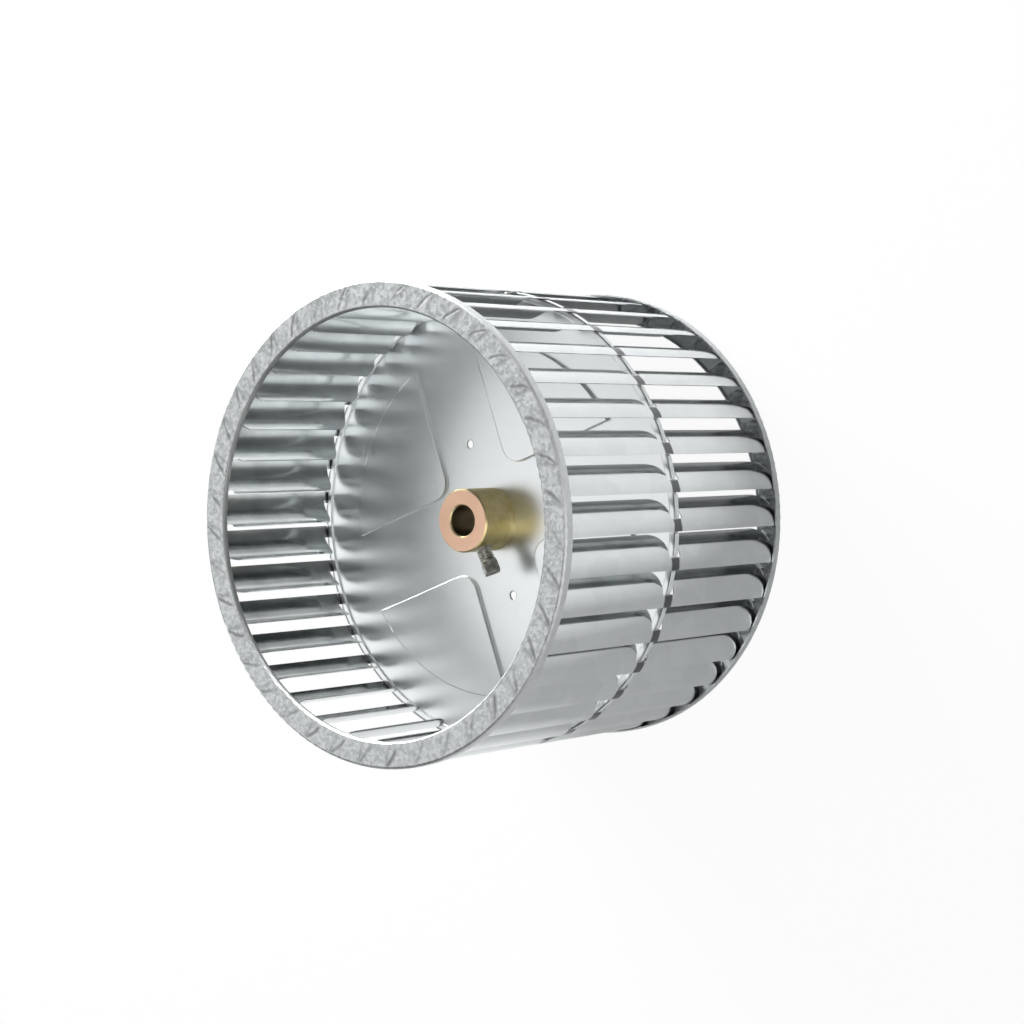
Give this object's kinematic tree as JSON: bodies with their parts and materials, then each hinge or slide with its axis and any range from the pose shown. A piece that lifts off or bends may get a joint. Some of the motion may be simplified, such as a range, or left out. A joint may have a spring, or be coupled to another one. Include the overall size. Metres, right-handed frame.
{
  "type": "blower wheel",
  "caption": "Double-inlet blower wheel: forward-curved steel blades between two end rings, a centre disc and a bored hub with a square-head set screw.",
  "frame": {"origin": "the wheel's centre, on the shaft axis at mid width, in the plane of the centre disc", "axes": "+Z along the shaft axis, out of the inlet that the hub faces; +X along the set screw, from the hub towards its head. The wheel stands on its rear end ring"},
  "size_m": [0.2413, 0.2412, 0.181],
  "materials": {
    "galvanised_ring": "galvanised, mottled satin",
    "galvanised_blade": "galvanised, smooth half gloss",
    "galvanised_disc": "galvanised, smooth gloss",
    "zinc_yellow_hub": "turned steel, yellow passivated zinc",
    "dark_steel": "dark oiled steel"
  },
  "bodies": {
    "wheel": {"front_ring": "galvanised_ring", "rear_ring": "galvanised_ring", "centre_disc": "galvanised_disc", "hub": "zinc_yellow_hub", "blade_01": "galvanised_blade", "blade_02": "galvanised_blade", "blade_03": "galvanised_blade", "blade_04": "galvanised_blade", "blade_05": "galvanised_blade", "blade_06": "galvanised_blade", "blade_07": "galvanised_blade", "blade_08": "galvanised_blade", "blade_09": "galvanised_blade", "blade_10": "galvanised_blade", "blade_11": "galvanised_blade", "blade_12": "galvanised_blade", "blade_13": "galvanised_blade", "blade_14": "galvanised_blade", "blade_15": "galvanised_blade", "blade_16": "galvanised_blade", "blade_17": "galvanised_blade", "blade_18": "galvanised_blade", "blade_19": "galvanised_blade", "blade_20": "galvanised_blade", "blade_21": "galvanised_blade", "blade_22": "galvanised_blade", "blade_23": "galvanised_blade", "blade_24": "galvanised_blade", "blade_25": "galvanised_blade", "blade_26": "galvanised_blade", "blade_27": "galvanised_blade", "blade_28": "galvanised_blade", "blade_29": "galvanised_blade", "blade_30": "galvanised_blade", "blade_31": "galvanised_blade", "blade_32": "galvanised_blade", "blade_33": "galvanised_blade", "blade_34": "galvanised_blade", "blade_35": "galvanised_blade", "blade_36": "galvanised_blade", "blade_37": "galvanised_blade", "blade_38": "galvanised_blade", "blade_39": "galvanised_blade"},
    "set_screw": {"set_screw": "dark_steel"}
  },
  "joints": [
    {"name": "set_screw_travel", "type": "slide", "parent": "wheel", "child": "set_screw", "axis": [1, 0, 0], "range_m": [-0.0016, 0.0065]}
  ]
}
